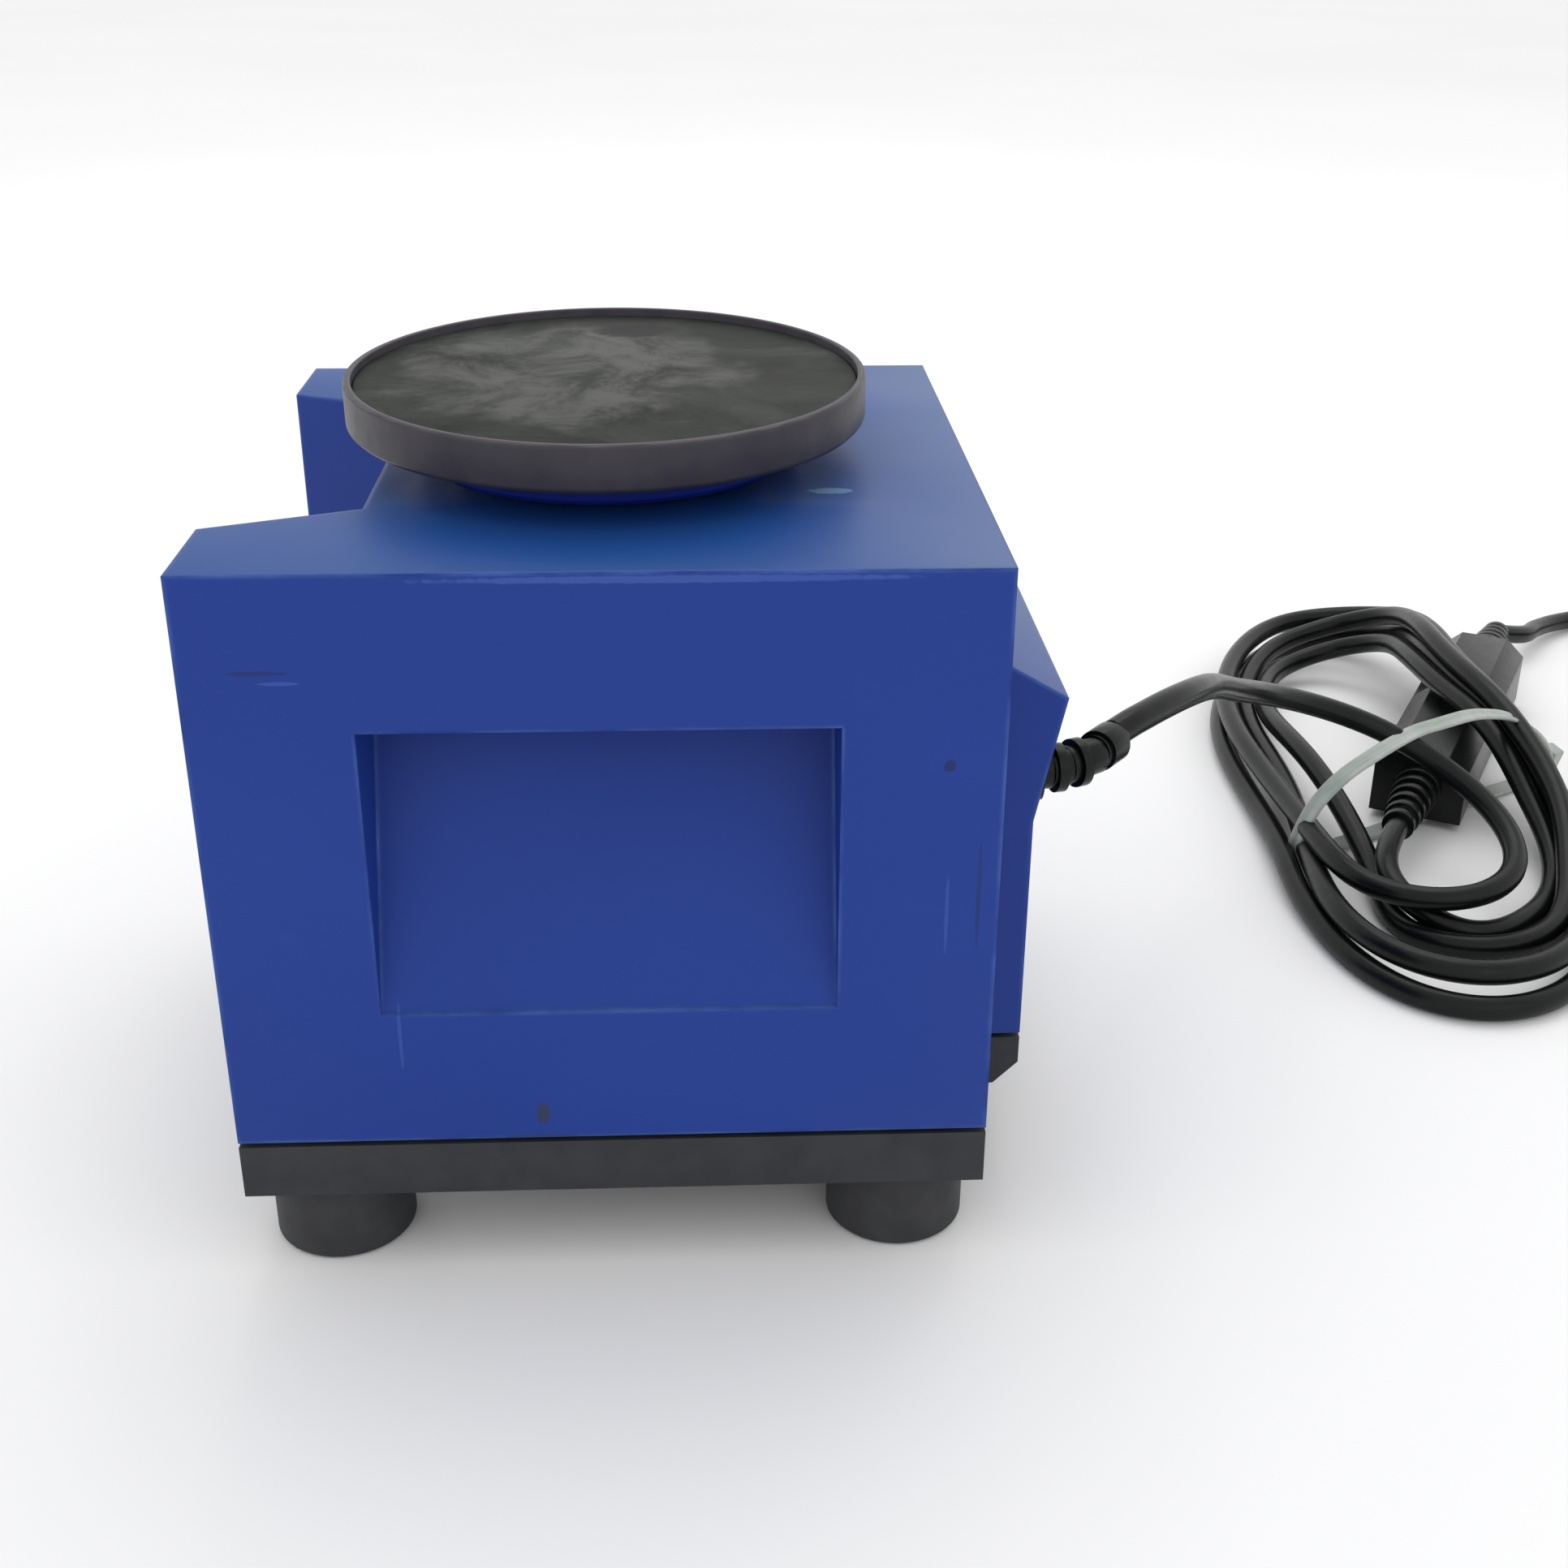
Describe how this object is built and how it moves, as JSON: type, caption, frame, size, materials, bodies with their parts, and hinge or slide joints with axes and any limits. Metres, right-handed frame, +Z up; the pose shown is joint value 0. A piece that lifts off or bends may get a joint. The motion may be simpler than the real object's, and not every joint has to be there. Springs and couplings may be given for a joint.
{
  "type": "orbital shaker",
  "caption": "Compact bench-top orbital shaker: round rubber-lined dish on a heavy housing with side grips and a control notch, rubber feet, mains lead with a tied coil and in-line plug",
  "frame": {"origin": "centre of the bounding box of the machine without its free leads, at its base, on the soles of the feet", "axes": "+Z up, +Y from the control notch towards the rear where the lead leaves, +X towards the grip side on the right of someone who faces the controls"},
  "size_m": [0.3727, 0.551, 0.1706],
  "materials": {
    "housing_paint": "satin",
    "hub_blue": "satin",
    "base_plastic": "matte",
    "dish_plastic": "satin",
    "foot_rubber": "matte",
    "pad_rubber": "matte",
    "cord_rubber": "satin",
    "steel": "brushed",
    "cast_iron": "matte",
    "stator_core": "lacquered",
    "brass": "satin",
    "black_plastic": "satin",
    "rocker_red": "gloss",
    "lamp_green": "gloss",
    "board_green": "satin",
    "white_plastic": "matte",
    "tie_plastic": "matte"
  },
  "bodies": {
    "housing": {"upper_housing": "housing_paint", "base_tray": "base_plastic", "foot_front_left": "foot_rubber", "foot_front_right": "foot_rubber", "foot_rear_left": "foot_rubber", "foot_rear_right": "foot_rubber", "foot_washers": "steel", "foot_screws": "steel", "ballast_plate": "cast_iron", "standoffs": "steel", "base_screws": "steel", "motor_plate": "steel", "plate_screws": "steel", "motor_can": "steel", "motor_stator": "stator_core", "motor_screws": "steel", "lower_bearing": "steel", "upper_bearing": "steel", "flexible_posts": "cord_rubber", "control_panel": "base_plastic", "speed_control": "black_plastic", "switch_frame": "black_plastic", "power_lamp": "lamp_green", "control_board": "board_green", "heat_sink": "steel", "capacitor": "black_plastic", "terminal_block": "white_plastic", "board_bracket": "steel", "cord_gland": "cord_rubber", "cord_clamp": "black_plastic", "inner_lead": "cord_rubber", "power_lead": "cord_rubber", "lead_coil": "cord_rubber", "coil_tie": "tie_plastic", "inline_plug": "cord_rubber", "inline_connector": "cord_rubber", "supply_lead": "cord_rubber", "supply_coil": "cord_rubber", "supply_tie": "tie_plastic", "wall_plug": "black_plastic"},
    "drive": {"motor_rotor": "steel", "drive_shaft": "steel", "counterweight": "brass", "counterweight_screw": "steel"},
    "platform": {"eccentric_bearing": "steel", "platform_hub": "hub_blue", "dish": "dish_plastic", "dish_pad": "pad_rubber", "dish_screws": "steel"},
    "knob": {"speed_knob": "black_plastic", "knob_shaft": "steel"},
    "rocker": {"power_rocker": "rocker_red"}
  },
  "joints": [
    {"name": "drive_spin", "type": "hinge", "parent": "housing", "child": "drive", "pos_m": [0, -0.009, 0.1], "axis": [0, 0, 1], "continuous": true},
    {"name": "platform_orbit", "type": "hinge", "parent": "drive", "child": "platform", "pos_m": [0.00225, -0.009, 0.145], "axis": [0, 0, 1], "continuous": true},
    {"name": "speed_knob_turn", "type": "hinge", "parent": "housing", "child": "knob", "pos_m": [0, -0.065, 0.1044], "axis": [0, 1, 0], "range_deg": [0, 280]},
    {"name": "power_rocker_tilt", "type": "hinge", "parent": "housing", "child": "rocker", "pos_m": [-0.02, -0.0536, 0.0624], "axis": [-1, 0, 0], "range_deg": [0, 22]}
  ],
  "couplings": [
    {"joint": "platform_orbit", "follows": "drive_spin", "ratio": -1}
  ]
}
